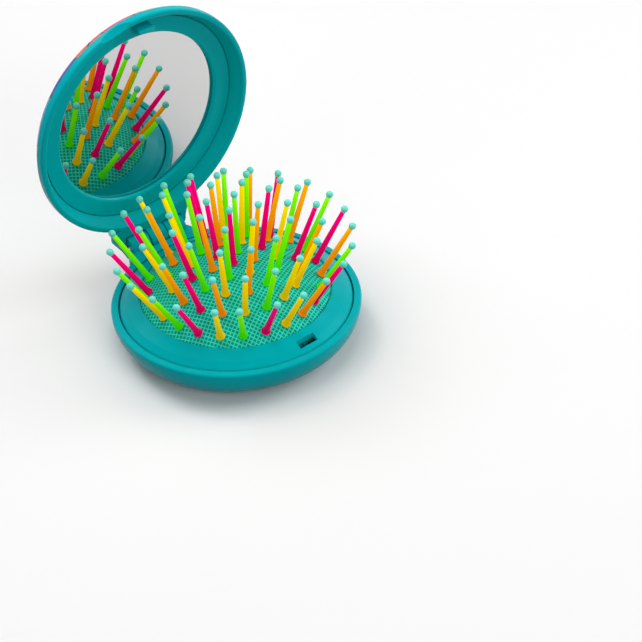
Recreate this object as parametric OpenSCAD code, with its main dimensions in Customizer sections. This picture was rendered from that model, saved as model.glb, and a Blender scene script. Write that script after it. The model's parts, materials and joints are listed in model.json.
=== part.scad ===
// Folding pocket hairbrush: a round case with a pop-up pin cushion and a mirror in its hinged lid.
// Millimetres, +Z up. The origin is the centre of the base's flat foot, the hinge lies toward +Y
// and the latch toward -Y. The lid is drawn open, as far as its stop lets it go.

/* [Case] */
// Outer diameter of base and lid
case_d = 72; // [68:1:80]
// Height of the base, from its foot to the parting plane
base_h = 11.5; // [10.5:0.5:14]
// Thickness of the base's wall and floor
wall = 1.8; // [1.4:0.1:2]
// How far the base's rounded side reaches in to the flat foot
side_round = 12; // [10:0.5:13]
// Width of the base's top lip, from the outside to the groove
lip_w = 2.1; // [1.9:0.1:2.6]
// Rounding of the lips' outer edges
lip_r = 0.7; // [0.4:0.1:0.9]
// Open groove between the lip and the trim ring
groove_w = 0.4; // [0.3:0.05:0.7]

/* [Trim ring and plate] */
// Width of the sloping trim ring
ring_w = 6; // [5.5:0.25:7]
// Height of the ring's inner edge over the parting plane
ring_rise = 3.5; // [3:0.1:3.8]
// Thickness of the ring's slope
ring_t = 1.4; // [1.1:0.1:1.6]
// Depth of the ring's seat under the parting plane
seat_depth = 2.2; // [2:0.1:2.6]
// Thickness of the plate under the ring and the pad
plate_t = 1.4; // [1:0.1:1.8]

/* [Cushion] */
// Radius of the domed pad
dome_r = 46; // [42:1:60]
// Thickness of the pad
pad_t = 1.6; // [1.2:0.1:1.8]
// Height of the pad's edge over the parting plane
pad_edge_h = 3; // [2.6:0.1:3.2]
// Thickness of the pad's standing edge
skirt_t = 1.4; // [1.1:0.1:1.6]
// Size of the bead that the trim ring holds down
bead = 1.3; // [1:0.1:1.4]

/* [Pins] */
// Distance between the rings of pins
ring_pitch = 6.12; // [5.8:0.02:6.2]
// Length of a pin, from the pad to the middle of its ball
pin_len = 18.75; // [14:0.25:20]
// Radius of the ball on a pin
ball_r = 1.05; // [0.9:0.05:1.2]
// Radius of a pin under its ball
neck_r = 0.65; // [0.55:0.05:0.75]
// Radius of a pin over its foot
shank_r = 0.9; // [0.8:0.05:1]
// Radius of the bulb at a pin's foot
foot_r = 1.35; // [1.2:0.05:1.5]
// Radius of the head under the pad
head_r = 1.4; // [1.2:0.05:1.5]

/* [Lid] */
// Height of the lid's band
band_h = 2.4; // [2.3:0.1:3.2]
// Height of the lid's domed cover over the band
dome_h = 7.4; // [7.2:0.1:8.4]
// Thickness of the cover
cover_t = 0.8; // [0.6:0.1:0.9]
// Width of the lid's lip
lid_lip_w = 1.9; // [1.6:0.1:2.2]
// Depth of the mirror's bezel under the lid's lip
bezel_depth = 4; // [3.8:0.1:4.1]
// Width of the bezel
bezel_w = 5.2; // [4.8:0.1:5.6]
// Thickness of the bezel's outer edge
bezel_t = 0.7; // [0.6:0.1:0.8]
// How far the mirror lies under the bezel's face
mirror_drop = 1.5; // [1.3:0.1:1.6]
// Thickness of the mirror
glass_t = 0.8; // [0.7:0.1:0.9]
// Thickness of the tape behind the mirror
tape_t = 0.2; // [0.15:0.05:0.3]
// Angle of the open lid from shut
lid_open = 87; // [80:1:88]
// Gap between the lips when the case is shut
shut_gap = 0.25; // [0.2:0.05:0.4]

/* [Hinge] */
// Distance from the case's rim to the hinge's axis
hinge_out = 4.8; // [4.6:0.1:5.4]
// Width of the hinge block
block_w = 23.4; // [22:0.2:26]
// Height of the hinge block over the axis
block_h = 5.5; // [5.2:0.1:5.8]
// Reach of the hinge block behind the axis
block_out = 1.6; // [1.2:0.1:1.8]
// Radius of the base's knuckles
knuckle_r = 3.3; // [3:0.1:3.4]
// Width of the lid's middle knuckle
mid_w = 5.6; // [4.8:0.2:6.4]
// Thickness of the block's side walls
cheek_w = 1.8; // [1.6:0.1:2.2]
// Gap beside each knuckle
knuckle_gap = 0.45; // [0.3:0.05:0.5]
// Radius of the steel pin
pin_r = 1; // [0.8:0.1:1.2]
// Running clearance of the pin in the base's knuckles
run_gap = 0.05; // [0.03:0.01:0.08]

/* [Latch] */
// Angle of the latch from the front, toward +X
latch_a = 3.7; // [0:0.1:8]
// Length of the latch's slot
slot_l = 6.2; // [5.6:0.2:6.6]
// Width of the latch's slot
slot_w = 2.1; // [2:0.1:2.4]
// Thickness of the hook
hook_t = 1.4; // [1.2:0.1:1.5]
// Width of the thumb notch in the lid's lip
notch_w = 13.6; // [11:0.5:16]
// Angle of the thumb notch from the front, toward -X
notch_a = 13.5; // [11:0.5:18]

/* [Push button] */
// Radius of the button
button_r = 13.6; // [12:0.2:14.4]
// Gap round the button
button_gap = 0.4; // [0.3:0.05:0.6]
// Height of the button's face over the table when the pins are out
button_up = 8.4; // [7.6:0.2:8.6]
// Thickness of the button
button_t = 1.6; // [1.2:0.1:2]
// Radius of the tube that carries the pad
hub_r = 9.6; // [9:0.1:10]

/* [Hidden] */
$fn = 96;
eps = 0.01;
far = 60;

case_r = case_d / 2;
seat_gap = 0.1;                       // between pieces that are pushed together
lip_in = case_r - lip_w;
ring_out = lip_in - groove_w;
ring_in = ring_out - ring_w;
seat_z = base_h - seat_depth;
ledge_z = seat_z - plate_t;
ledge_in = lip_in - 2.3;
ledge_t = 1;
bowl_r = case_r - side_round;
bowl_h = base_h - lip_r;

pad_out = ring_in - seat_gap;
pad_in = pad_out - skirt_t;
dome_z = base_h + pad_edge_h - sqrt(dome_r ^ 2 - pad_out ^ 2);
head_t = 0.6;
flare_h = 2.3;                        // height at which a pin's foot has narrowed to its shank

// pins on each ring, the turn of each ring's first pin, and the colours from that pin on
ring_pins = [1, 6, 12, 18, 24];
ring_turn = [0, -18, 13, 3, -1];
ring_dyes = ["P", "OGPOGY", "PYOGYPGYOGGY", "GOGYPYOGYOPOYGYYOP", "GOPOGPGYPGPGYGPYGPYOPGOP"];

hinge_y = case_r + hinge_out;
barrel_r = 3.4;                       // middle knuckle, which the lid carries
barrel_gap = 0.5;                     // between it and the notch in the base's neck
pocket_gap = 0.6;
knuckle_w = (block_w - mid_w - 2 * cheek_w - 4 * knuckle_gap) / 2;
knuckle_x = mid_w / 2 + knuckle_gap;
pocket_w = knuckle_w + 2 * knuckle_gap;
pin_l = 2 * (knuckle_x + knuckle_w) - 0.4;
fillet_r = 8;
block_round = 2;
block_end = 2;                        // height of the block's back face over the axis
lug_depth = 4.2;
heel_top = 1.75;                      // depth of the heel, on which the open lid stops
heel_out = 5;
neck_w = block_w - 1.8;
neck_y = hinge_y - 1.3;
neck_round = 1;
neck_depth = 5.2;

cover_r = case_r - 0.5;
dome_p = 4;                           // how square the cover's shoulder is
cover_gap = 0.12;
band_top = shut_gap + band_h;
bezel_face = shut_gap + bezel_depth;
mirror_face = bezel_face + mirror_drop;
glass_back = mirror_face + glass_t;
lid_floor = glass_back + tape_t;
bezel_out = case_r - lid_lip_w - 1.9;
bezel_in = bezel_out - bezel_w;
pocket_r = bezel_in + 1;
shelf_h = bezel_face + bezel_t;
notch_d = 1.8;                        // depth of the thumb notch into the lip
notch_h = 1.7;

slot_r = (ring_out + ring_in) / 2 + 0.4;
slot_top = base_h + ring_rise * (ring_out - slot_r) / ring_w;
hole_r = button_r + button_gap;
hole_rim = 1.2;
hub_t = 1.6;
hub_top = dome_z + sqrt((dome_r - pad_t) ^ 2 - hub_r ^ 2) - 0.3;

// an elliptical arc about c with half axes a and b, from angle f to angle t
function arc(c, a, b, f, t, n = 10) =
    [for (i = [0:n]) let (w = f + (t - f) * i / n) [c.x + a * cos(w), c.y + b * sin(w)]];

// the cover's rise over its rim: flat in the middle, falling off at the shoulder
function shoulder(r, h, z, n = 14) =
    [for (i = [0:n]) let (w = 90 - 90 * i / n) [r * sin(w) ^ (2 / dome_p), z + h * cos(w)]];

// turns closed-lid places, measured from the hinge's axis, to where the open lid has them
module lid_place() {
    translate([0, hinge_y, base_h]) rotate([-lid_open, 0, 0]) children();
}

// the lid's round pieces are turned about its own centre
module lid_turned() {
    lid_place() translate([0, -hinge_y, 0]) rotate_extrude() children();
}

// a side view in Y and Z, w wide from x on
module side_slab(x, w) {
    translate([x, 0, 0]) rotate([90, 0, 90]) linear_extrude(w) children();
}

// both knuckle places, left and right
module each_knuckle() {
    for (s = [-1, 1]) translate([s * (knuckle_x + knuckle_w / 2), 0, 0]) children();
}

// right edge of a neck w wide that flows from the round case out to y_end and ends in a round corner
function neck_edge(w, y_end, corner) =
    let (x = w / 2 + fillet_r, y = sqrt((case_r + fillet_r) ^ 2 - x ^ 2),
        stop = asin(max(0, y - y_end + corner) / fillet_r))
    concat(arc([x, y], fillet_r, fillet_r, 180 + atan(y / x), 180 + stop, 8),
        arc([w / 2 - corner, y_end - corner], corner, corner, 0, 90, 5));

module neck_plan(w, y_end, corner) {
    edge = neck_edge(w, y_end, corner);
    polygon(concat(edge, [for (i = [len(edge) - 1:-1:0]) [-edge[i].x, edge[i].y]]));
}

// ---- base ----

module base_bowl() {
    inner_side = arc([bowl_r, bowl_h], side_round - wall, bowl_h - wall, -35, -90, 8);
    rotate_extrude() polygon(concat(
        arc([bowl_r, bowl_h], side_round, bowl_h, -90, 0, 14),
        arc([case_r - lip_r, bowl_h], lip_r, lip_r, 15, 90, 4),
        [[lip_in, base_h], [lip_in, ledge_z], [ledge_in, ledge_z], [ledge_in, ledge_z - ledge_t]],
        inner_side,
        [[hole_r + hole_rim, wall], [hole_r + hole_rim, wall + 1.4], [hole_r, wall + 1.4],
         [hole_r, 0]]));
}

// side view of a base knuckle: round eye, heel behind it, and the lug that runs into the neck
module base_lug_side() {
    reach = hinge_y - case_r + 1.4;
    polygon(concat(
        arc([0, 0], knuckle_r, knuckle_r, -asin(heel_top / knuckle_r), 180, 18),
        [[-knuckle_r, -pocket_gap], [-reach, -pocket_gap], [-reach, -lug_depth],
         [1.2, -lug_depth], [heel_out, -heel_top - 1], [heel_out, -heel_top]]));
}

module base_neck() {
    difference() {
        translate([0, 0, base_h - neck_depth]) linear_extrude(neck_depth)
            neck_plan(neck_w, neck_y, neck_round);
        cylinder(r = lip_in, h = far);
        // room for the lid's middle knuckle
        translate([0, hinge_y, base_h]) rotate([0, 90, 0])
            cylinder(r = barrel_r + barrel_gap, h = 2 * knuckle_x, center = true);
    }
}

module base_shell() {
    color("#0aa0aa") difference() {
        union() {
            base_bowl();
            base_neck();
            translate([0, hinge_y, base_h]) each_knuckle()
                side_slab(-knuckle_w / 2, knuckle_w) base_lug_side();
        }
        translate([0, hinge_y, base_h]) rotate([0, 90, 0])
            cylinder(r = pin_r + run_gap, h = block_w, center = true);
    }
}

module retainer_plate() {
    color("#0b8f98") translate([0, 0, ledge_z]) rotate_extrude()
        translate([pad_in - 1, 0]) square([lip_in - seat_gap - pad_in + 1, plate_t]);
}

module trim_ring() {
    slope = ring_rise / ring_w;
    skirt_in = pad_out + bead + seat_gap;
    crest = base_h + ring_rise;
    bulge = 0.2;
    color("#10a6b0") difference() {
        rotate_extrude() polygon([
            [ring_out, seat_z], [ring_out, base_h - 0.4], [ring_out - 0.3, base_h + 0.1],
            [ring_out - ring_w * 0.35, base_h + ring_rise * 0.35 + bulge],
            [ring_out - ring_w * 0.65, base_h + ring_rise * 0.65 + bulge],
            [ring_in + 0.5, crest - 0.05], [ring_in + 0.15, crest - 0.15], [ring_in, crest - 0.45],
            [ring_in, seat_z + bead], [skirt_in, seat_z + bead],
            [skirt_in, base_h + slope * (ring_out - skirt_in) - ring_t],
            [ring_out - 1.5, base_h + slope * 1.5 - ring_t], [ring_out - 1.5, seat_z]]);
        rotate([0, 0, latch_a - 90]) translate([slot_r - slot_w / 2, -slot_l / 2, seat_z])
            cube([slot_w, slot_l, seat_depth + ring_rise + 1]);
    }
}

// the catch stands on the plate and fills the slot's left part, well under the ring's slope
module latch_catch() {
    catch_l = slot_l * 0.6;
    catch_h = slot_top - 1.9 - seat_z;
    color("#0b7f88") rotate([0, 0, latch_a - 90])
        translate([slot_r - slot_w / 2 + seat_gap, -slot_l / 2 + seat_gap, seat_z])
            cube([slot_w - 2 * seat_gap, catch_l, catch_h]);
}

// ---- cushion and pins ----

// child placed at pin i of ring k, pointing out of the dome
module at_pin(k, i) {
    lean = asin(k * ring_pitch / dome_r);
    translate([0, 0, dome_z]) rotate([0, 0, ring_turn[k] + i * 360 / ring_pins[k]])
        rotate([0, lean, 0]) translate([0, 0, dome_r]) children();
}

module each_pin(dye = "") {
    for (k = [0:len(ring_pins) - 1], i = [0:ring_pins[k] - 1])
        if (dye == "" || ring_dyes[k][i] == dye) at_pin(k, i) children();
}

module cushion_pad() {
    color("#18b89c") difference() {
        union() {
            intersection() {
                translate([0, 0, dome_z]) sphere(r = dome_r);
                translate([0, 0, seat_z]) cylinder(r = pad_out, h = far);
            }
            translate([0, 0, seat_z]) cylinder(r = pad_out + bead, h = bead);
        }
        intersection() {
            translate([0, 0, dome_z]) sphere(r = dome_r - pad_t);
            translate([0, 0, -eps]) cylinder(r = pad_in, h = far);
        }
        each_pin() translate([0, 0, -2 * pad_t])
            cylinder(r = shank_r + 0.02, h = 4 * pad_t, $fn = 24);
    }
}

// one pin: head under the pad, root through it, bulb on it, tapering shank
module brush_pin() {
    under = -pad_t - 0.05;
    rotate_extrude($fn = 24) polygon([
        [0, under - head_t], [head_r, under - head_t], [head_r, under], [shank_r, under],
        [shank_r, 0], [foot_r - 0.25, 0], [foot_r, 0.3], [foot_r, 0.8], [foot_r - 0.2, 1.3],
        [shank_r, flare_h],
        [(shank_r + neck_r) / 2, pin_len / 2], [neck_r, pin_len - ball_r],
        [neck_r, pin_len - 0.25], [0, pin_len - 0.25]]);
}

module pins_pink() { color("#eb006e") each_pin("P") brush_pin(); }

module pins_green() { color("#64dc00") each_pin("G") brush_pin(); }

module pins_yellow() { color("#f0d000") each_pin("Y") brush_pin(); }

module pins_orange() { color("#f59a00") each_pin("O") brush_pin(); }

module pin_tips() {
    color("#5ad2b9") each_pin() difference() {
        translate([0, 0, pin_len]) sphere(r = ball_r, $fn = 32);
        translate([0, 0, pin_len - 2 * ball_r])
            cylinder(r = neck_r + 0.02, h = 2 * ball_r - 0.2, $fn = 24);
    }
}

// ---- button under the pad ----

module push_button() {
    edge = 0.4;
    color("#12aab4") rotate_extrude() polygon([
        [0, button_up], [button_r - edge, button_up], [button_r, button_up + edge],
        [button_r, button_up + button_t], [hub_r, button_up + button_t], [hub_r, hub_top],
        [hub_r - hub_t, hub_top], [hub_r - hub_t, button_up + button_t],
        [0, button_up + button_t]]);
}

// ---- lid ----

module hinge_pin() {
    color("#c0c4c8") lid_place() rotate([0, 90, 0])
        cylinder(r = pin_r, h = pin_l, center = true);
}

// side view of the hinge block: flat top, short back face, hollowed under the back
module block_side() {
    top_r = 0.8;
    front = -hinge_out - 2.2;
    hollow_r = block_out + 1.9;
    polygon(concat(
        [[front, shut_gap], [block_out - hollow_r, shut_gap]],
        arc([block_out - hollow_r, block_end], hollow_r, block_end - shut_gap, -80, 0, 6),
        arc([block_out - top_r, block_h - top_r], top_r, top_r, 0, 90, 4),
        [[front, block_h]]));
}

// side view of the lid's middle knuckle
module barrel_side() {
    polygon(concat(arc([0, 0], barrel_r, barrel_r, 180, 390, 21),
        [[block_out, block_h - 1], [-barrel_r, block_h - 1]]));
}

// room in the lid for a knuckle of the base
module pocket_side() {
    room = knuckle_r + pocket_gap;
    polygon(concat(arc([0, 0], room, room, 0, 180, 18), [[-room, -1], [room, -1]]));
}

module hinge_block() {
    difference() {
        union() {
            intersection() {
                translate([0, -hinge_y, -far / 2]) linear_extrude(far)
                    neck_plan(block_w, hinge_y + block_out, block_round);
                side_slab(-far / 2, far) block_side();
            }
            side_slab(-mid_w / 2, mid_w) barrel_side();
        }
        translate([0, -hinge_y, -far / 2]) cylinder(r = case_r - lid_lip_w + 0.5, h = far);
        translate([0, -hinge_y, band_top]) cylinder(r = cover_r + 0.2, h = far);
        each_knuckle() side_slab(-pocket_w / 2, pocket_w) pocket_side();
        rotate([0, 90, 0]) cylinder(r = pin_r, h = pin_l + 2 * eps, center = true);
    }
}

module lid_shell() {
    inner_r = cover_r - cover_t - cover_gap - 0.2;
    wall_in = bezel_out + 0.3;
    lip_in_r = case_r - lid_lip_w;
    tilt = atan(notch_d / notch_h);
    cut_d = notch_d * cos(tilt);
    notch_r = cut_d / 2 + notch_w ^ 2 / 8 / cut_d;
    color("#0aa0aa") lid_place() difference() {
        union() {
            translate([0, -hinge_y, 0]) rotate_extrude() polygon(concat(
                [[0, lid_floor], [pocket_r, lid_floor], [pocket_r, shelf_h], [wall_in, shelf_h],
                 [wall_in, bezel_face], [lip_in_r, shut_gap + lip_r]],
                arc([lip_in_r + lip_r, shut_gap + lip_r], lip_r, lip_r, 200, 270, 4),
                arc([case_r - lip_r, shut_gap + lip_r], lip_r, lip_r, 285, 360, 4),
                [[case_r, band_top]],
                shoulder(inner_r, dome_h - cover_t - cover_gap, band_top)));
            hinge_block();
        }
        // thumb notch: a slanted scoop off the lip's outer edge
        translate([0, -hinge_y, 0]) rotate([0, 0, -90 - notch_a])
            translate([case_r - notch_d, 0, shut_gap]) rotate([0, tilt, 0])
                translate([notch_r, 0, 0]) cylinder(r = notch_r, h = far, center = true);
    }
}

module printed_cover() {
    color("#e8a0c8") lid_turned() polygon(concat(
        shoulder(cover_r, dome_h, band_top),
        [for (i = [14:-1:0]) shoulder(cover_r - cover_t - 0.2, dome_h - cover_t, band_top)[i]]));
}

module mirror_bezel() {
    roll = 0.6;
    color("#10a0aa") lid_turned() polygon([
        [bezel_in + roll, bezel_face], [bezel_out, bezel_face], [bezel_out, shelf_h],
        [pocket_r - seat_gap, shelf_h], [pocket_r - seat_gap, mirror_face],
        [bezel_in + 0.3, mirror_face], [bezel_in, mirror_face - 0.5],
        [bezel_in + 0.15, bezel_face + 0.25]]);
}

module mirror_glass() {
    color("#d8dcde") lid_place() translate([0, -hinge_y, mirror_face])
        cylinder(r = pocket_r - 0.4, h = glass_t);
}

module mirror_tape() {
    color("#e8e8e4") lid_place() translate([0, -hinge_y, glass_back])
        cylinder(r = pocket_r - 1.5, h = tape_t);
}

// the hook stands on the bezel and reaches into the latch's slot when the case is shut
module latch_hook() {
    hook_l = slot_l - 0.6;
    tip = slot_top - base_h - 1.4;
    color("#18b4be") lid_place() translate([0, -hinge_y, 0]) rotate([0, 0, latch_a - 90])
        translate([slot_r - hook_t / 2, -hook_l / 2, tip])
            cube([hook_t, hook_l, bezel_face - tip]);
}

base_shell();
retainer_plate();
trim_ring();
latch_catch();
cushion_pad();
pins_pink();
pins_green();
pins_yellow();
pins_orange();
pin_tips();
push_button();
hinge_pin();
lid_shell();
printed_cover();
mirror_bezel();
mirror_glass();
mirror_tape();
latch_hook();
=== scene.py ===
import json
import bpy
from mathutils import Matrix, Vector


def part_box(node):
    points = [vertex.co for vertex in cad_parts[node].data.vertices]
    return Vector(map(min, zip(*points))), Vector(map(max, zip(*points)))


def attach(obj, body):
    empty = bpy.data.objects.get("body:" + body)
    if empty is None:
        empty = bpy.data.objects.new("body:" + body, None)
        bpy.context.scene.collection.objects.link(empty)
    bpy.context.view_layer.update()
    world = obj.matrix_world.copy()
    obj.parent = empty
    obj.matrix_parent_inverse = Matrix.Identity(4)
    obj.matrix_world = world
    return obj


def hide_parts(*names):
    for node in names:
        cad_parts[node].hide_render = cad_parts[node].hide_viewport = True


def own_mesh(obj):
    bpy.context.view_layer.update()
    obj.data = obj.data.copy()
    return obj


bl_info = {
    "name": "Folding Hairbrush",
    "version": (1, 0, 0),
    "blender": (4, 5, 0),
    "location": "3D View > Sidebar > Hairbrush",
    "description": "Dresses a folding hairbrush with a mirror: case, woven pad, pins and printed cover",
    "category": "Object",
}

import bpy
import numpy as np
from bpy.props import FloatProperty, FloatVectorProperty, PointerProperty
from mathutils import Matrix, Vector

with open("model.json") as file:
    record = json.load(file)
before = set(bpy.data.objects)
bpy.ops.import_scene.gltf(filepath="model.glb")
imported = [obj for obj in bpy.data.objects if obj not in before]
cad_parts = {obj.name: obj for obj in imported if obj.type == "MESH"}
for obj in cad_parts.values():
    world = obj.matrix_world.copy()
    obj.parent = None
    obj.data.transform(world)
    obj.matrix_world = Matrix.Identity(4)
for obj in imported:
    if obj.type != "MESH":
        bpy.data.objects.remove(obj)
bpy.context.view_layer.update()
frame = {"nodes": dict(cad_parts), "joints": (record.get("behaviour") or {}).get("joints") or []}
MM = 0.001

# Places that the frame gives, in metres
HINGE = Vector(frame["joints"][0]["pos_m"])
OPEN = np.radians(frame["joints"][0]["range_deg"][1])
PARTING = HINGE.z
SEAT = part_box("cushion_pad")[0].z
RING_W = 6.1 * MM                      # of the trim ring, with the gap between it and the pad
PAD_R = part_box("trim_ring")[1].x - RING_W

# The pad's sheet, the skirt that goes down into its seat, and the bead round the skirt's foot
SHEET_T = 1.6 * MM
SKIRT_T = 1.4 * MM
BEAD = 1.3 * MM

# The pins in two lots: name, rings, and the share of height kept. The rim's pins lean out under the lid's
# lip, so they fold flatter than the others, whose balls end just short of the mirror
PIN_LOTS = (("", range(4), 0.23), ("_rim", range(4, 5), 0.088))


# ------------------------------------------------------------------ settings

class HairbrushCase(bpy.types.PropertyGroup):
    """Sizes and colours of the moulded case"""
    teal: FloatVectorProperty(name="Case", description="Colour of the moulded case", subtype="COLOR",
                              size=3, min=0, max=1, default=(0.0, 0.45, 0.50))
    # Painted shade: the plate and the catch are the case's teal, drawn much darker for the shade they lie in
    # under the ring
    painted_shade_teal: FloatVectorProperty(name="Plate and catch", description="Colour of the pieces under the ring",
                              subtype="COLOR", size=3, min=0, max=1, default=(0.0, 0.16, 0.18))
    latch_angle: FloatProperty(name="Latch angle", description="From the front toward the right",
                               default=np.radians(3.7), subtype="ANGLE")
    grain: FloatProperty(name="Grain", description="Depth of the fine moulded grain", default=0.02,
                         min=0, max=0.2, subtype="FACTOR")


class HairbrushPad(bpy.types.PropertyGroup):
    """The woven pad and the pins on it"""
    dome_r: FloatProperty(name="Dome radius", description="Radius of the domed pad",
                          default=46 * MM, unit="LENGTH")
    edge_h: FloatProperty(name="Edge height", description="Height of the pad's edge over the parting plane",
                          default=3 * MM, unit="LENGTH")
    pitch: FloatProperty(name="Thread pitch", description="Distance between threads of the weave",
                         default=1.14 * MM, unit="LENGTH")
    thread: FloatVectorProperty(name="Thread", description="Colour of the raised threads", subtype="COLOR",
                                size=3, min=0, max=1, default=(0.06, 0.80, 0.64))
    ground: FloatVectorProperty(name="Ground", description="Colour of the sheet beside a thread",
                                subtype="COLOR", size=3, min=0, max=1, default=(0.0, 0.47, 0.35))
    # Painted shade: the weave's holes are drawn darker for the shade down in them
    hole: FloatVectorProperty(name="Hole", description="Colour down in the weave's holes", subtype="COLOR",
                              size=3, min=0, max=1, default=(0.0, 0.22, 0.17))
    ring_pitch: FloatProperty(name="Ring pitch", description="Distance between the rings of pins",
                              default=6.12 * MM, unit="LENGTH")
    pin_len: FloatProperty(name="Pin length", description="From the pad to the middle of the ball",
                           default=18.75 * MM, unit="LENGTH")
    sway: FloatProperty(name="Sway", description="How far a pin commonly leans along its ring",
                        default=np.radians(1.6), subtype="ANGLE")
    ball_r: FloatProperty(name="Ball radius", description="Radius of a pin's ball",
                          default=1.05 * MM, unit="LENGTH")
    tip: FloatVectorProperty(name="Ball", description="Colour of the balls", subtype="COLOR",
                             size=3, min=0, max=1, default=(0.17, 0.84, 0.71))


class HairbrushLook(bpy.types.PropertyGroup):
    """The view and the light"""
    azimuth: FloatProperty(name="Azimuth", description="Viewing angle round the object",
                           default=np.radians(-35.93), subtype="ANGLE")
    elevation: FloatProperty(name="Elevation", description="Viewing angle above the table",
                             default=np.radians(37.27), subtype="ANGLE")
    roll: FloatProperty(name="Roll", description="Turn of the camera about its own line of sight",
                        default=np.radians(-3.14), subtype="ANGLE")
    distance: FloatProperty(name="Distance", description="From the camera to the base's centre",
                            default=0.7977, unit="LENGTH")
    lens: FloatProperty(name="Lens", description="Focal length in millimetres for a 36 mm sensor",
                        default=155.93, min=20, max=400)
    top: FloatProperty(name="Top lamp", description="Power of the soft lamp overhead",
                       default=2.3, unit="POWER")
    rear: FloatProperty(name="Rear lamp", description="Power of the soft lamp above the lid",
                        default=3.8, unit="POWER")
    left: FloatProperty(name="Left lamp", description="Power of the soft lamp at the left",
                        default=0.7, unit="POWER")
    right: FloatProperty(name="Right lamp", description="Power of the soft lamp at the right",
                         default=3.0, unit="POWER")
    front: FloatProperty(name="Front lamp", description="Power of the soft lamp in front",
                         default=2.3, unit="POWER")
    sky: FloatProperty(name="Sky", description="Strength of the even light from all round", default=0.2)
    floor: FloatVectorProperty(name="Floor", description="Colour of the floor", subtype="COLOR", size=3,
                               min=0, max=1, default=(0.9, 0.9, 0.9))
    bounce: FloatProperty(name="Bounce", description="How pale the floor is for the light it throws back",
                          default=0.3, min=0, max=1, subtype="FACTOR")


# ------------------------------------------------------------------ mesh helpers

def ring_faces(around, rows):
    """Quads between neighbouring points of a grid that closes in its first direction."""
    i, j = np.meshgrid(np.arange(around), np.arange(rows - 1), indexing="ij")
    k = (i + 1) % around
    return np.stack([i * rows + j, k * rows + j, k * rows + j + 1, i * rows + j + 1], -1).reshape(-1, 4)


def between_poles(grid, start, end):
    """Points, quads and triangles of a grid that runs round in its first direction and ends in one point at
    each end of its second."""
    around, rows = grid.shape[:2]
    i = np.arange(around)
    k = (i + 1) % around
    pole = np.full(around, around * rows)
    fans = np.concatenate([np.stack([pole, k * rows, i * rows], -1),
                           np.stack([pole + 1, i * rows + rows - 1, k * rows + rows - 1], -1)])
    return np.concatenate([grid.reshape(-1, 3), [start, end]]), ring_faces(around, rows), fans


def new_piece(name, points, *faces, smooth=True, uv=None, shade=None):
    """A mesh object at the origin. uv is one pair per point, shade one number per point."""
    mesh = bpy.data.meshes.new(name)
    faces = [face for group in faces for face in np.asarray(group).tolist()]
    mesh.from_pydata(np.asarray(points, float).reshape(-1, 3), [], faces)
    mesh.polygons.foreach_set("use_smooth", np.full(len(mesh.polygons), smooth))
    if uv is not None:
        layer = mesh.uv_layers.new(name="UVMap")
        corner = np.zeros(len(mesh.loops), np.int32)
        mesh.loops.foreach_get("vertex_index", corner)
        layer.data.foreach_set("uv", np.asarray(uv, np.float32)[corner].ravel())
    if shade is not None:
        layer = mesh.attributes.new("shade", "FLOAT", "POINT")
        layer.data.foreach_set("value", np.asarray(shade, np.float32).ravel())
    mesh.update()
    piece = bpy.data.objects.new(name, mesh)
    bpy.context.scene.collection.objects.link(piece)
    return piece


def turned(profile, around):
    """Points of an outline of (radius, height) pairs turned about the Z axis: (r cos t, r sin t, h)."""
    p = np.asarray(profile, float)
    t = np.linspace(0, 2 * np.pi, around, endpoint=False)[:, None]
    height = np.broadcast_to(p[:, 1], (around, len(p)))
    return np.stack([p[:, 0] * np.cos(t), p[:, 0] * np.sin(t), height], -1)


def closed_turn(profile, around):
    """A turned outline whose first and last points lie on the axis: points, quads and triangles."""
    (_, low), (_, high) = profile[0], profile[-1]
    return between_poles(turned(profile[1:-1], around), (0, 0, low), (0, 0, high))


def arc(centre, a, b, start, end, n):
    """Points on an ellipse about centre with half axes a and b, from one angle to another in degrees."""
    w = np.radians(np.linspace(start, end, n))
    return np.stack([centre[0] + a * np.cos(w), centre[1] + b * np.sin(w)], -1)


def lid_place(points):
    """Closed-lid points, with the case's centre at the origin and heights over the parting plane, turned
    about the hinge's axis to where the open lid has them."""
    p = np.asarray(points, float)
    y, z = p[..., 1] - HINGE.y, p[..., 2]
    out = p.copy()
    out[..., 1] = HINGE.y + y * np.cos(OPEN) + z * np.sin(OPEN)
    out[..., 2] = PARTING - y * np.sin(OPEN) + z * np.cos(OPEN)
    return out


def dress(piece, material):
    """Gives the piece one material."""
    piece.data.materials.clear()
    piece.data.materials.append(material)


# ------------------------------------------------------------------ shader helpers

def new_material(name):
    """A node material with its Principled shader, and the tree to build on."""
    mat = bpy.data.materials.new(name)
    mat.use_nodes = True
    tree = mat.node_tree
    return mat, tree, tree.nodes["Principled BSDF"]


def node(tree, kind, **values):
    """A shader node with its plain settings; keys that start with in_ set sockets by number."""
    made = tree.nodes.new(kind)
    for key, value in values.items():
        if key.startswith("in_"):
            made.inputs[int(key[3:])].default_value = value
        else:
            setattr(made, key, value)
    return made


def math_node(tree, operation, a, b=None, c=None):
    """One Math node, whose inputs are sockets or numbers; returns its output socket."""
    made = node(tree, "ShaderNodeMath", operation=operation)
    for k, value in enumerate((a, b, c)):
        if value is None:
            continue
        if isinstance(value, bpy.types.NodeSocket):
            tree.links.new(value, made.inputs[k])
        else:
            made.inputs[k].default_value = value
    return made.outputs[0]


def mix_colour(tree, share, a, b):
    """A colour between a and b; returns the output socket."""
    made = node(tree, "ShaderNodeMix", data_type="RGBA")
    for k, value in ((0, share), (6, a), (7, b)):
        if isinstance(value, bpy.types.NodeSocket):
            tree.links.new(value, made.inputs[k])
        elif k:
            made.inputs[k].default_value = (*value[:3], 1)
        else:
            made.inputs[k].default_value = value
    return made.outputs[2]


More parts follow.
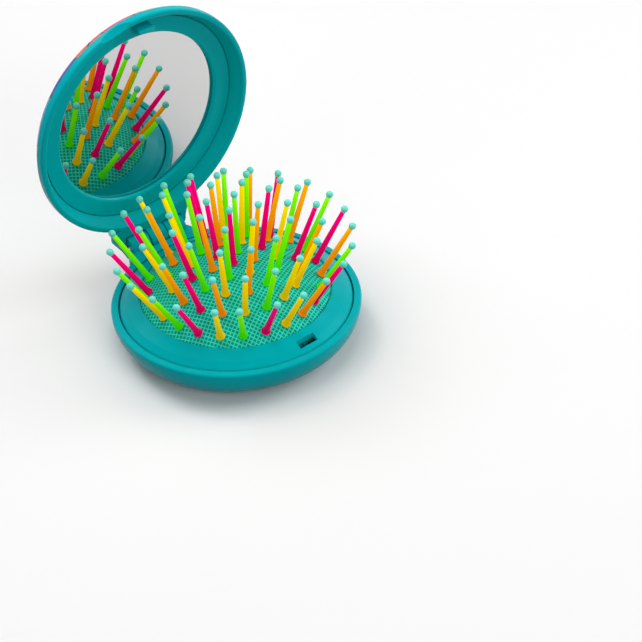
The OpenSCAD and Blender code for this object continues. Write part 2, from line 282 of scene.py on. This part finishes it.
def moulded_group():
    """Shader group for moulded plastic: fine grain in the height, slow drifts in colour and roughness.
    Inputs: Color, Grain, Roughness. Outputs: Color, Roughness, Normal."""
    name = "Moulded plastic"
    if name in bpy.data.node_groups:
        return bpy.data.node_groups[name]
    tree = bpy.data.node_groups.new(name, "ShaderNodeTree")
    face = tree.interface
    face.new_socket("Color", in_out="INPUT", socket_type="NodeSocketColor")
    face.new_socket("Grain", in_out="INPUT", socket_type="NodeSocketFloat")
    face.new_socket("Roughness", in_out="INPUT", socket_type="NodeSocketFloat")
    face.new_socket("Color", in_out="OUTPUT", socket_type="NodeSocketColor")
    face.new_socket("Roughness", in_out="OUTPUT", socket_type="NodeSocketFloat")
    face.new_socket("Normal", in_out="OUTPUT", socket_type="NodeSocketVector")
    take, give = tree.nodes.new("NodeGroupInput"), tree.nodes.new("NodeGroupOutput")
    place = node(tree, "ShaderNodeTexCoord").outputs["Object"]
    fine = node(tree, "ShaderNodeTexNoise", in_2=3200.0, in_3=3.0)
    slow = node(tree, "ShaderNodeTexNoise", in_2=55.0, in_3=2.0)
    for tex in (fine, slow):
        tree.links.new(place, tex.inputs["Vector"])
    drift = math_node(tree, "MULTIPLY_ADD", slow.outputs[0], 0.16, -0.08)
    hsv = node(tree, "ShaderNodeHueSaturation")
    tree.links.new(take.outputs["Color"], hsv.inputs["Color"])
    tree.links.new(math_node(tree, "ADD", drift, 1.0), hsv.inputs["Value"])
    rough = math_node(tree, "ADD", take.outputs["Roughness"], math_node(tree, "MULTIPLY", drift, 0.6))
    bump = node(tree, "ShaderNodeBump")
    bump.inputs["Distance"].default_value = 0.0002
    tree.links.new(take.outputs["Grain"], bump.inputs["Strength"])
    tree.links.new(fine.outputs[0], bump.inputs["Height"])
    tree.links.new(hsv.outputs[0], give.inputs["Color"])
    tree.links.new(rough, give.inputs["Roughness"])
    tree.links.new(bump.outputs[0], give.inputs["Normal"])
    return tree


def gloss(shader, colour, level):
    """Sets how much of the light glances off, in the tint of the piece's own colour."""
    peak = max(colour)
    shader.inputs["Specular IOR Level"].default_value = level
    shader.inputs["Specular Tint"].default_value = (*(0.1 + 0.9 * part / peak for part in colour), 1)


def moulded(name, colour, roughness, grain, level=0.08):
    """Moulded plastic in one colour."""
    mat, tree, shader = new_material(name)
    group = node(tree, "ShaderNodeGroup", node_tree=moulded_group())
    group.inputs["Color"].default_value = (*colour, 1)
    group.inputs["Grain"].default_value = grain
    group.inputs["Roughness"].default_value = roughness
    for socket, into in (("Color", "Base Color"), ("Roughness", "Roughness"), ("Normal", "Normal")):
        tree.links.new(group.outputs[socket], shader.inputs[into])
    gloss(shader, colour, level)
    return mat


# ------------------------------------------------------------------ case

class HAIRBRUSH_OT_case(bpy.types.Operator):
    """Gives the moulded pieces of the case their plastic"""
    bl_idname = "hairbrush.case"
    bl_label = "Case"

    def execute(self, context):
        case = context.scene.hairbrush_case
        teal = moulded("case_teal", case.teal, 0.24, case.grain)
        for name in ("base_shell", "trim_ring", "push_button", "lid_shell", "mirror_bezel"):
            dress(frame["nodes"][name], teal)
        # painted shade: the plate and the catch get a darker teal for the shade under the ring
        painted_shade_teal = moulded("plate_painted_shade", case.painted_shade_teal, 0.4, case.grain)
        for name in ("retainer_plate", "latch_catch"):
            dress(frame["nodes"][name], painted_shade_teal)
        return {"FINISHED"}


def rounded_block(name, half, soft, angle, place):
    """A box with rounded edges: every direction from its middle is taken to the corner of a smaller box that
    lies that way, and soft further along the direction. It is turned by angle about Z, then placed."""
    u = np.radians(np.concatenate([q + np.linspace(2, 88, 7) for q in (0, 90, 180, 270)]))
    v = np.radians(np.concatenate([np.linspace(-88, -2, 7), np.linspace(2, 88, 7)]))
    u, v = np.meshgrid(u, v, indexing="ij")
    way = np.stack([np.cos(v) * np.cos(u), np.cos(v) * np.sin(u), np.sin(v)], -1)
    half = np.array(half)
    grid = np.sign(way) * (half - soft) + way * soft
    points, *faces = between_poles(grid, (0, 0, -half[2]), (0, 0, half[2]))
    x, y = points[:, 0].copy(), points[:, 1].copy()
    points[:, 0], points[:, 1] = x * np.cos(angle) - y * np.sin(angle), x * np.sin(angle) + y * np.cos(angle)
    return new_piece(name, place(points), *faces)


class HAIRBRUSH_OT_latch(bpy.types.Operator):
    """Makes the latch's hook, a tab with rounded edges that stands on the bezel"""
    bl_idname = "hairbrush.latch"
    bl_label = "Latch"

    def execute(self, context):
        case = context.scene.hairbrush_case
        teal = moulded("latch_teal", case.teal, 0.2, case.grain, level=0.2)
        angle = case.latch_angle - np.pi / 2
        radius, low, high = 30.9 * MM, 0.12 * MM, 4.25 * MM

        def on_bezel(points):
            middle = (radius * np.cos(angle), radius * np.sin(angle), (low + high) / 2)
            return lid_place(points + np.array(middle))

        hook = rounded_block("hook", (0.7 * MM, 2.8 * MM, (high - low) / 2), 0.4 * MM, angle, on_bezel)
        dress(hook, teal)
        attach(hook, "lid")
        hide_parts("latch_hook")
        return {"FINISHED"}


class HAIRBRUSH_OT_hinge_pin(bpy.types.Operator):
    """Gives the hinge's wire its drawn steel"""
    bl_idname = "hairbrush.hinge_pin"
    bl_label = "Hinge pin"

    def execute(self, context):
        mat, tree, shader = new_material("steel_wire")
        shader.inputs["Base Color"].default_value = (0.55, 0.56, 0.58, 1)
        shader.inputs["Metallic"].default_value = 1
        lines = node(tree, "ShaderNodeTexNoise", in_2=900.0)
        stretch = node(tree, "ShaderNodeMapping")
        stretch.inputs["Scale"].default_value = (0.05, 1, 1)
        tree.links.new(node(tree, "ShaderNodeTexCoord").outputs["Object"], stretch.inputs["Vector"])
        tree.links.new(stretch.outputs[0], lines.inputs["Vector"])
        rough = math_node(tree, "MULTIPLY_ADD", lines.outputs[0], 0.25, 0.15)
        tree.links.new(rough, shader.inputs["Roughness"])
        dress(frame["nodes"]["hinge_pin"], mat)
        return {"FINISHED"}


# ------------------------------------------------------------------ pad

def dome_centre(pad):
    """Height of the middle of the pad's sphere."""
    return PARTING + pad.edge_h - np.sqrt(pad.dome_r ** 2 - PAD_R ** 2)


def weave_material(pad):
    """Canvas-like sheet: two sets of raised threads cross, with a hole in each square between them. A
    thread's height is the cosine across it, so the higher of the two sets shows, and both low is a hole. The
    holes are drawn darker as painted shade."""
    mat, tree, shader = new_material("woven_pad")
    uv = node(tree, "ShaderNodeUVMap", uv_map="UVMap")
    split = node(tree, "ShaderNodeSeparateXYZ")
    tree.links.new(uv.outputs[0], split.inputs[0])
    turns = 2 * np.pi / pad.pitch
    waves = [math_node(tree, "COSINE", math_node(tree, "MULTIPLY", split.outputs[k], turns)) for k in (0, 1)]
    top = math_node(tree, "MAXIMUM", *waves)
    low = node(tree, "ShaderNodeMapRange", interpolation_type="SMOOTHSTEP", in_1=0.5, in_2=0.98)
    # painted shade: where both sets of threads are low, the hole is drawn darker
    hole_shade = node(tree, "ShaderNodeMapRange", interpolation_type="SMOOTHSTEP", in_1=-0.15, in_2=-0.95)
    tree.links.new(top, low.inputs[0])
    tree.links.new(top, hole_shade.inputs[0])
    noise = node(tree, "ShaderNodeTexNoise", in_2=420.0)
    tree.links.new(node(tree, "ShaderNodeTexCoord").outputs["Object"], noise.inputs["Vector"])
    lit = math_node(tree, "MULTIPLY_ADD", noise.outputs[0], 0.5, 0.75)
    thread = node(tree, "ShaderNodeHueSaturation", in_4=(*pad.thread, 1))
    tree.links.new(lit, thread.inputs["Value"])
    side = mix_colour(tree, math_node(tree, "MULTIPLY", hole_shade.outputs[0], 0.75), pad.ground, pad.hole)
    colour = mix_colour(tree, low.outputs[0], side, thread.outputs[0])
    tree.links.new(colour, shader.inputs["Base Color"])
    tree.links.new(math_node(tree, "MULTIPLY_ADD", low.outputs[0], -0.15, 0.65), shader.inputs["Roughness"])
    bump = node(tree, "ShaderNodeBump")
    bump.inputs["Strength"].default_value = 0.6
    bump.inputs["Distance"].default_value = 0.0002
    tree.links.new(top, bump.inputs["Height"])
    tree.links.new(bump.outputs[0], shader.inputs["Normal"])
    gloss(shader, pad.thread, 0.08)
    return mat


class HAIRBRUSH_OT_pad(bpy.types.Operator):
    """Makes the domed pad that the pins stand in"""
    bl_idname = "hairbrush.pad"
    bl_label = "Pad"

    def execute(self, context):
        pad = context.scene.hairbrush_pad
        zc, r, inner = dome_centre(pad), pad.dome_r, pad.dome_r - SHEET_T
        edge = np.degrees(np.arccos(PAD_R / r))
        inner_edge = np.degrees(np.arccos((PAD_R - SKIRT_T) / inner))
        top = arc((0, zc), r, r, 90, edge, 64)
        under = arc((0, zc), inner, inner, inner_edge, 90, 48)
        skirt = [(PAD_R, SEAT + BEAD), (PAD_R + BEAD, SEAT + BEAD), (PAD_R + BEAD, SEAT),
                 (PAD_R - SKIRT_T, SEAT)]
        profile = np.concatenate([top, skirt, under])[::-1]
        points, *faces = closed_turn(profile, 256)
        radius = np.hypot(points[..., 0], points[..., 1])
        along = r * np.arcsin(np.clip(radius / r, 0, 1)) / np.maximum(radius, 1e-9)
        tilt = np.radians(29)
        x, y = points[..., 0] * along, points[..., 1] * along
        uv = np.stack([x * np.cos(tilt) + y * np.sin(tilt), y * np.cos(tilt) - x * np.sin(tilt)], -1)
        piece = new_piece("woven_pad", points, *faces, uv=uv)
        dress(piece, weave_material(pad))
        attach(piece, "base")
        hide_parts("cushion_pad")
        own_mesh(piece)
        return {"FINISHED"}


# ------------------------------------------------------------------ pins

# pins on each ring, the turn of each ring's first pin in degrees, and the colours from that pin on
RING_PINS = (1, 6, 12, 18, 24)
RING_TURN = (0, -18, 13, 3, -1)
RING_DYES = ("P", "OGPOGY", "PYOGYPGYOGGY", "GOGYPYOGYOPOYGYYOP", "GOPOGPGYPGPGYGPYGPYOPGOP")


def pin_frames(pad, rings, dyes="PGYO"):
    """Origins and axes of the pins: each stands square on the dome, on rings of equal pitch, but for a small
    random sway along its ring."""
    zc = dome_centre(pad)
    places, axes = [], []
    for ring in rings:
        lean = np.arcsin(ring * pad.ring_pitch / pad.dome_r)
        sway = np.random.default_rng(ring).normal(0, pad.sway, RING_PINS[ring])
        for k in range(RING_PINS[ring]):
            if RING_DYES[ring][k] not in dyes:
                continue
            w = np.radians(RING_TURN[ring] + k * 360 / RING_PINS[ring])
            out = np.array([np.sin(lean) * np.cos(w), np.sin(lean) * np.sin(w), np.cos(lean)])
            side = np.array([np.cos(lean) * np.cos(w), np.cos(lean) * np.sin(w), -np.sin(lean)])
            across = np.cross(out, side)
            places.append(np.array([0, 0, zc]) + out * pad.dome_r)
            c, s = np.cos(sway[k]), np.sin(sway[k])
            axes.append(np.stack([side, across * c - out * s, out * c + across * s]))
    return np.array(places), np.array(axes)


def stand_on_pad(name, profile, frames, around, shade=None):
    """One turned outline repeated on every frame: place + x side + y across + z out."""
    places, axes = frames
    one, *faces = closed_turn(profile, around)
    points = places[:, None] + np.einsum("pk,nkc->npc", one, axes)
    step = (np.arange(len(places)) * len(one))[:, None, None]
    faces = [(group[None] + step).reshape(-1, group.shape[1]) for group in faces]
    tone = None
    if shade is not None:
        tone = np.tile(np.concatenate([np.tile(shade[1:-1], around), shade[[0, -1]]]), len(places))
    return new_piece(name, points.reshape(-1, 3), *faces, shade=tone)


def pin_profile(pad):
    """Outline of a pin from its axis at the foot to its end inside the ball: a round bulb that narrows in a
    hollow curve into a long shank, which tapers to the neck."""
    foot, shank, neck, waist = 1.35 * MM, 0.90 * MM, 0.65 * MM, 2.3 * MM
    bulb = arc((0, 0.55 * MM), foot, 0.55 * MM, -80, 35, 9)
    w = np.linspace(0, 1, 8)[1:]
    flare = np.stack([shank + (bulb[-1, 0] - shank) * (1 - w) ** 1.6,
                      bulb[-1, 1] + (waist - bulb[-1, 1]) * w], -1)
    end = pad.pin_len - 0.25 * MM
    taper = np.stack([shank + (neck - shank) * w, waist + (end - waist) * w], -1)
    return np.concatenate([[(0, 0)], bulb, flare, taper, [(0, end)]])


def pin_material(name, high, low):
    """Nylon in a bright fluorescent dye, with a painted glow: it gives off a little light of its own, though
    it is no lamp. Its colour is drawn darker toward the foot as painted shade, where less light passes."""
    mat, tree, shader = new_material(name)
    # painted shade: the share runs from 0 at the foot to 1 at the neck, so the colour goes from the darker
    # low one to the bright high one
    tone = node(tree, "ShaderNodeAttribute", attribute_name="shade")
    noise = node(tree, "ShaderNodeTexNoise", in_2=260.0)
    tree.links.new(node(tree, "ShaderNodeTexCoord").outputs["Object"], noise.inputs["Vector"])
    stray = math_node(tree, "MULTIPLY_ADD", noise.outputs[0], 0.1, -0.05)
    share = math_node(tree, "ADD", tone.outputs["Fac"], stray)
    dye = mix_colour(tree, share, low, high)
    tree.links.new(dye, shader.inputs["Base Color"])
    # painted glow: the dye's colour is also given off as light, though the pins are no lamp
    tree.links.new(dye, shader.inputs["Emission Color"])
    tree.links.new(math_node(tree, "MULTIPLY_ADD", noise.outputs[0], 0.1, 0.27), shader.inputs["Roughness"])
    gloss(shader, high, 0.01)
    shader.inputs["Emission Strength"].default_value = 0.36
    return mat


class HAIRBRUSH_OT_pins(bpy.types.Operator):
    """Makes the 61 pins in their four colours"""
    bl_idname = "hairbrush.pins"
    bl_label = "Pins"

    def execute(self, context):
        pad = context.scene.hairbrush_pad
        # each dye: its letter, its colour at the neck, and a darker colour at the foot that is painted shade
        dyes = {"pink": ("P", (1.0, 0.0, 0.22), (0.60, 0.0, 0.09)),
                "green": ("G", (0.24, 0.95, 0.0), (0.03, 0.64, 0.0)),
                "yellow": ("Y", (1.0, 0.76, 0.0), (0.72, 0.44, 0.0)),
                "orange": ("O", (1.0, 0.40, 0.0), (0.78, 0.20, 0.0))}
        profile = pin_profile(pad)
        # painted shade along the pin: 0 at the foot, 1 at the neck
        shade = np.clip(profile[:, 1] / pad.pin_len, 0, 1)
        for colour, (dye, high, low) in dyes.items():
            nylon = pin_material("nylon_" + colour, high, low)
            for lot, rings, keep in PIN_LOTS:
                frames = pin_frames(pad, rings, dye)
                piece = stand_on_pad("nylon_pins_" + colour + lot, profile, frames, 20, shade)
                dress(piece, nylon)
                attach(piece, "base")
                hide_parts("pins_" + colour)
                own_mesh(piece)
        return {"FINISHED"}


class HAIRBRUSH_OT_tips(bpy.types.Operator):
    """Makes the dipped balls on the pins"""
    bl_idname = "hairbrush.tips"
    bl_label = "Ball tips"

    def execute(self, context):
        pad = context.scene.hairbrush_pad
        ball = arc((0, pad.pin_len), pad.ball_r, pad.ball_r, -90, 90, 17)
        low = ball[:, 1] < pad.pin_len - 0.7 * pad.ball_r
        ball[low, 1] -= 0.12 * MM
        aqua = moulded("ball_aqua", pad.tip, 0.3, 0.0, level=0.55)
        for lot, rings, keep in PIN_LOTS:
            piece = stand_on_pad("ball_tips" + lot, ball, pin_frames(pad, rings), 24)
            dress(piece, aqua)
            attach(piece, "base")
            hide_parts("pin_tips")
            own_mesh(piece)
        return {"FINISHED"}


# ------------------------------------------------------------------ lid

def pebble_group():
    """Shader group for the print: a mosaic of rippled pebbles whose colours run round the rainbow.
    Input: Size of a pebble in metres. Outputs: Color, and Line, which is 1 in the joints."""
    name = "Pebble print"
    if name in bpy.data.node_groups:
        return bpy.data.node_groups[name]
    tree = bpy.data.node_groups.new(name, "ShaderNodeTree")
    face = tree.interface
    face.new_socket("Size", in_out="INPUT", socket_type="NodeSocketFloat")
    face.new_socket("Color", in_out="OUTPUT", socket_type="NodeSocketColor")
    face.new_socket("Line", in_out="OUTPUT", socket_type="NodeSocketFloat")
    take, give = tree.nodes.new("NodeGroupInput"), tree.nodes.new("NodeGroupOutput")
    place = node(tree, "ShaderNodeTexCoord").outputs["Object"]
    scale = math_node(tree, "DIVIDE", 1.0, take.outputs["Size"])
    near = node(tree, "ShaderNodeTexVoronoi", feature="F1")
    edge = node(tree, "ShaderNodeTexVoronoi", feature="DISTANCE_TO_EDGE")
    for tex in (near, edge):
        tree.links.new(place, tex.inputs["Vector"])
        tree.links.new(scale, tex.inputs["Scale"])
    centre = node(tree, "ShaderNodeSeparateXYZ")
    tree.links.new(near.outputs["Position"], centre.inputs[0])
    chance = node(tree, "ShaderNodeSeparateColor")
    tree.links.new(near.outputs["Color"], chance.inputs[0])
    # the rainbow runs up and across the lid, and each pebble strays a little from it
    across = math_node(tree, "MULTIPLY", centre.outputs["X"], 6.0)
    run = math_node(tree, "MULTIPLY_ADD", centre.outputs["Z"], 11.0, across)
    hue = math_node(tree, "FRACT", math_node(tree, "MULTIPLY_ADD", chance.outputs[0], 0.24, run))
    ramp = node(tree, "ShaderNodeValToRGB")
    stops = [(0.0, (0.75, 0.005, 0.05)), (0.14, (0.90, 0.15, 0.0)), (0.27, (0.93, 0.55, 0.0)),
             (0.40, (0.25, 0.55, 0.01)), (0.53, (0.0, 0.38, 0.30)), (0.65, (0.0, 0.18, 0.70)),
             (0.79, (0.07, 0.02, 0.42)), (0.92, (0.42, 0.0, 0.36)), (1.0, (0.75, 0.005, 0.05))]
    elements = ramp.color_ramp.elements
    while len(elements) < len(stops):
        elements.new(0.5)
    for element, (position, colour) in zip(elements, stops):
        element.position, element.color = position, (*colour, 1)
    tree.links.new(hue, ramp.inputs[0])
    ripple = math_node(tree, "SINE", math_node(tree, "MULTIPLY", near.outputs["Distance"], 75.0))
    bright = math_node(tree, "MULTIPLY_ADD", chance.outputs[1], 0.35, 0.82)
    light = math_node(tree, "MULTIPLY_ADD", ripple, 0.10, bright)
    tone = node(tree, "ShaderNodeHueSaturation")
    tree.links.new(ramp.outputs[0], tone.inputs["Color"])
    tree.links.new(light, tone.inputs["Value"])
    joint = node(tree, "ShaderNodeMapRange", interpolation_type="SMOOTHSTEP",
                 in_1=0.015, in_2=0.045, in_3=1.0, in_4=0.0)
    tree.links.new(edge.outputs["Distance"], joint.inputs[0])
    printed = mix_colour(tree, joint.outputs[0], tone.outputs[0], (0.02, 0.01, 0.10))
    tree.links.new(printed, give.inputs["Color"])
    tree.links.new(joint.outputs[0], give.inputs["Line"])
    return tree


def cover_material():
    """Print behind a clear gloss: the pebble mosaic, a little rougher at its joints."""
    mat, tree, shader = new_material("rainbow_print")
    mosaic = node(tree, "ShaderNodeGroup", node_tree=pebble_group())
    mosaic.inputs["Size"].default_value = 9 * MM
    tree.links.new(mosaic.outputs["Color"], shader.inputs["Base Color"])
    rough = math_node(tree, "MULTIPLY_ADD", mosaic.outputs["Line"], 0.2, 0.3)
    tree.links.new(rough, shader.inputs["Roughness"])
    shader.inputs["Specular IOR Level"].default_value = 0.1
    shader.inputs["Coat Weight"].default_value = 0.5
    shader.inputs["Coat Roughness"].default_value = 0.04
    return mat


class HAIRBRUSH_OT_cover(bpy.types.Operator):
    """Prints the domed cover on the lid's back"""
    bl_idname = "hairbrush.cover"
    bl_label = "Printed cover"

    def execute(self, context):
        dress(frame["nodes"]["printed_cover"], cover_material())
        return {"FINISHED"}


class HAIRBRUSH_OT_mirror(bpy.types.Operator):
    """Silvers the mirror and dresses the tape behind it"""
    bl_idname = "hairbrush.mirror"
    bl_label = "Mirror"

    def execute(self, context):
        mat, tree, shader = new_material("silvered_glass")
        shader.inputs["Base Color"].default_value = (0.63, 0.63, 0.63, 1)
        shader.inputs["Metallic"].default_value = 1
        haze = node(tree, "ShaderNodeTexNoise", in_2=120.0)
        tree.links.new(node(tree, "ShaderNodeTexCoord").outputs["Object"], haze.inputs["Vector"])
        rough = math_node(tree, "MULTIPLY_ADD", haze.outputs[0], 0.01, 0.005)
        tree.links.new(rough, shader.inputs["Roughness"])
        dress(frame["nodes"]["mirror_glass"], mat)
        dress(frame["nodes"]["mirror_tape"], moulded("foam_tape", (0.8, 0.8, 0.76), 0.8, 0.1))
        return {"FINISHED"}


# ------------------------------------------------------------------ stage

def seen_share(tree):
    """1 for what the camera, a mirror or glass sees, and 0 for light that surfaces throw back."""
    rays = node(tree, "ShaderNodeLightPath")
    direct = math_node(tree, "MAXIMUM", rays.outputs["Is Camera Ray"], rays.outputs["Is Glossy Ray"])
    return math_node(tree, "MAXIMUM", direct, rays.outputs["Is Transmission Ray"])


class HAIRBRUSH_OT_stage(bpy.types.Operator):
    """Sets the camera, the lamps, the even light and the floor"""
    bl_idname = "hairbrush.stage"
    bl_label = "Stage"

    def execute(self, context):
        look = context.scene.hairbrush_look
        photo_w, sensor_w = 642, 36       # in pixels and in millimetres
        off_x, off_y = -84.88, -22.83     # place of the base's centre in the photograph, from its middle
        a, e, r = look.azimuth, look.elevation, look.roll
        back = np.array([np.sin(a) * np.cos(e), -np.cos(a) * np.cos(e), np.sin(e)])
        right = np.array([np.cos(a), np.sin(a), 0])
        up = np.cross(back, right)
        right, up = right * np.cos(r) + up * np.sin(r), up * np.cos(r) - right * np.sin(r)
        per_px = look.distance / (look.lens / sensor_w * photo_w)
        eye = back * look.distance - right * off_x * per_px + up * off_y * per_px
        eye = eye + np.array([0, 0, PARTING])
        camera = bpy.data.objects.new("camera", bpy.data.cameras.new("camera"))
        camera.data.lens, camera.data.sensor_width = look.lens, sensor_w
        camera.data.clip_start, camera.data.clip_end = 0.05, 10
        turn = Matrix(np.stack([right, up, back], -1).tolist())
        camera.matrix_world = Matrix.Translation(Vector(eye)) @ turn.to_4x4()
        context.scene.collection.objects.link(camera)
        context.scene.camera = camera

        wide = 3
        corners = [(-wide, -wide, 0), (wide, -wide, 0), (wide, wide, 0), (-wide, wide, 0)]
        floor = new_piece("floor", corners, [[0, 1, 2, 3]], smooth=False)
        mat, tree, shader = new_material("floor")
        pale = mix_colour(tree, seen_share(tree), (look.bounce, look.bounce, look.bounce), look.floor)
        tree.links.new(pale, shader.inputs["Base Color"])
        shader.inputs["Roughness"].default_value = 0.9
        shader.inputs["Specular IOR Level"].default_value = 0.0
        dress(floor, mat)

        world = bpy.data.worlds.new("studio")
        context.scene.world = world
        world.use_nodes = True
        tree = world.node_tree
        sky = tree.nodes["Background"]
        sky.inputs["Color"].default_value = (1, 1, 1, 1)
        seen = 0.97                       # strength of the world behind the floor, just short of white
        glow = math_node(tree, "MULTIPLY_ADD", seen_share(tree), seen - look.sky, look.sky)
        tree.links.new(glow, sky.inputs["Strength"])
        self.lamp(context, "top", (-0.05, 0.1, 0.85), 0.6, look.top)
        self.lamp(context, "rear", (-0.1, 0.6, 0.75), 0.5, look.rear)
        self.lamp(context, "left", (-0.75, -0.1, 0.5), 0.5, look.left)
        self.lamp(context, "right", (0.7, -0.3, 0.45), 0.5, look.right)
        self.lamp(context, "front", (-0.1, -0.85, 0.5), 0.5, look.front)
        context.scene.view_settings.view_transform = "Standard"
        return {"FINISHED"}

    def lamp(self, context, name, place, size, power):
        """A square soft lamp that faces the object."""
        data = bpy.data.lights.new(name, "AREA")
        data.size, data.energy = size, power
        lamp = bpy.data.objects.new(name, data)
        lamp.location = place
        lamp.rotation_euler = (Vector(place) - Vector((0, 0.01, 0.03))).to_track_quat("Z", "Y").to_euler()
        context.scene.collection.objects.link(lamp)


# ------------------------------------------------------------------ panel

class HAIRBRUSH_PT_panel(bpy.types.Panel):
    """Lists the pieces of the hairbrush"""
    bl_idname = "HAIRBRUSH_PT_panel"
    bl_label = "Folding hairbrush"
    bl_space_type = "VIEW_3D"
    bl_region_type = "UI"
    bl_category = "Hairbrush"

    def draw(self, context):
        for group in (getattr(context.scene, name) for name in GROUPS):
            box = self.layout.box()
            for name in group.bl_rna.properties.keys():
                if name not in ("rna_type", "name"):
                    box.prop(group, name)
        for step in STEPS:
            self.layout.operator(step.bl_idname)


GROUPS = {"hairbrush_case": HairbrushCase, "hairbrush_pad": HairbrushPad, "hairbrush_look": HairbrushLook}
STEPS = (HAIRBRUSH_OT_stage, HAIRBRUSH_OT_case, HAIRBRUSH_OT_latch, HAIRBRUSH_OT_hinge_pin, HAIRBRUSH_OT_pad,
         HAIRBRUSH_OT_pins, HAIRBRUSH_OT_tips, HAIRBRUSH_OT_cover, HAIRBRUSH_OT_mirror)


def register():
    for cls in (*GROUPS.values(), *STEPS, HAIRBRUSH_PT_panel):
        bpy.utils.register_class(cls)
    for name, cls in GROUPS.items():
        setattr(bpy.types.Scene, name, PointerProperty(type=cls))


def unregister():
    for name in GROUPS:
        delattr(bpy.types.Scene, name)
    for cls in reversed((*GROUPS.values(), *STEPS, HAIRBRUSH_PT_panel)):
        bpy.utils.unregister_class(cls)


def main():
    """Builds every piece in order."""
    register()
    for step in STEPS:
        operator = getattr(bpy.ops.hairbrush, step.bl_idname.split(".")[1])
        if operator() != {"FINISHED"}:
            raise RuntimeError(step.bl_label + " didn't finish")


if __name__ == "__main__":
    main()
